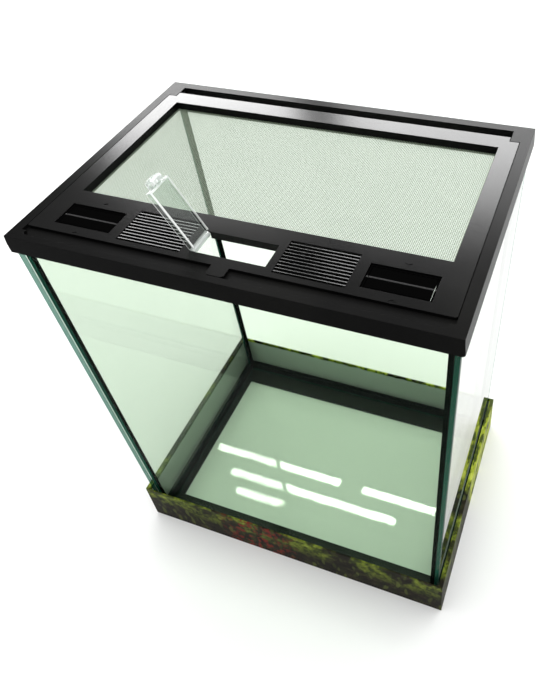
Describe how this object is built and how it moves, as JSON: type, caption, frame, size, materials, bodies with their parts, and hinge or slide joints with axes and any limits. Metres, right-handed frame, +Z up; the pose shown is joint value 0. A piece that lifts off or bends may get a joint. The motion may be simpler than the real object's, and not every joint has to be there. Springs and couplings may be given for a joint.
{
  "type": "hamster cage",
  "caption": "Small glass hamster cage in a printed card tray, with a black top frame and a lift-off lid holding a mesh window, vents, cable ports and a clear flip-up feeding hatch.",
  "frame": {"origin": "on the supporting surface, below the middle of the tank", "axes": "+Z up; -Y towards the front, the side with the finger tab and the feeding hatch; +X to the right seen from the front"},
  "size_m": [0.313, 0.22, 0.4216],
  "materials": {
    "card_print": "foliage print outside, grey board inside",
    "tank_glass": "clear float glass with a green edge",
    "silicone": "semi-gloss, finger smoothed",
    "frame_plastic": "satin",
    "lid_plastic": "satin",
    "mesh_metal": "fine woven wire",
    "port_rubber": "matte",
    "clear_plastic": "clear, polished",
    "pin_steel": "blackened drawn wire"
  },
  "bodies": {
    "cage": {"base_tray": "card_print", "floor_glass": "tank_glass", "front_glass": "tank_glass", "rear_glass": "tank_glass", "left_glass": "tank_glass", "right_glass": "tank_glass", "base_seal": "silicone", "corner_seal_front_left": "silicone", "corner_seal_front_right": "silicone", "corner_seal_rear_left": "silicone", "corner_seal_rear_right": "silicone", "top_frame": "frame_plastic"},
    "lid": {"lid_panel": "lid_plastic", "mesh_screen": "mesh_metal", "mesh_retainer": "lid_plastic", "port_grommet_left": "port_rubber", "port_grommet_right": "port_rubber", "hatch_pin": "pin_steel"},
    "hatch": {"hatch_door": "clear_plastic"},
    "port_leaf_left_front": {"port_leaf_left_front": "port_rubber"},
    "port_leaf_left_rear": {"port_leaf_left_rear": "port_rubber"},
    "port_leaf_right_front": {"port_leaf_right_front": "port_rubber"},
    "port_leaf_right_rear": {"port_leaf_right_rear": "port_rubber"}
  },
  "joints": [
    {"name": "lid_lift", "type": "slide", "parent": "cage", "child": "lid", "axis": [0, 0, 1], "range_m": [0, 0.08]},
    {"name": "hatch_hinge", "type": "hinge", "parent": "lid", "child": "hatch", "pos_m": [-0.0234, -0.0754, 0.3768], "axis": [0, 1, 0], "range_deg": [0, 117]},
    {"name": "port_leaf_left_front_bend", "type": "hinge", "parent": "lid", "child": "port_leaf_left_front", "pos_m": [-0.1065, -0.0827, 0.3767], "axis": [-1, 0, 0], "range_deg": [0, 80], "stiffness_Nm_per_rad": 0.002, "springref_deg": -2.86},
    {"name": "port_leaf_left_rear_bend", "type": "hinge", "parent": "lid", "child": "port_leaf_left_rear", "pos_m": [-0.1065, -0.0669, 0.3767], "axis": [1, 0, 0], "range_deg": [0, 80], "stiffness_Nm_per_rad": 0.002, "springref_deg": -2.86},
    {"name": "port_leaf_right_front_bend", "type": "hinge", "parent": "lid", "child": "port_leaf_right_front", "pos_m": [0.1065, -0.0827, 0.3767], "axis": [-1, 0, 0], "range_deg": [0, 80], "stiffness_Nm_per_rad": 0.002, "springref_deg": -2.86},
    {"name": "port_leaf_right_rear_bend", "type": "hinge", "parent": "lid", "child": "port_leaf_right_rear", "pos_m": [0.1065, -0.0669, 0.3767], "axis": [1, 0, 0], "range_deg": [0, 80], "stiffness_Nm_per_rad": 0.002, "springref_deg": -2.86}
  ]
}
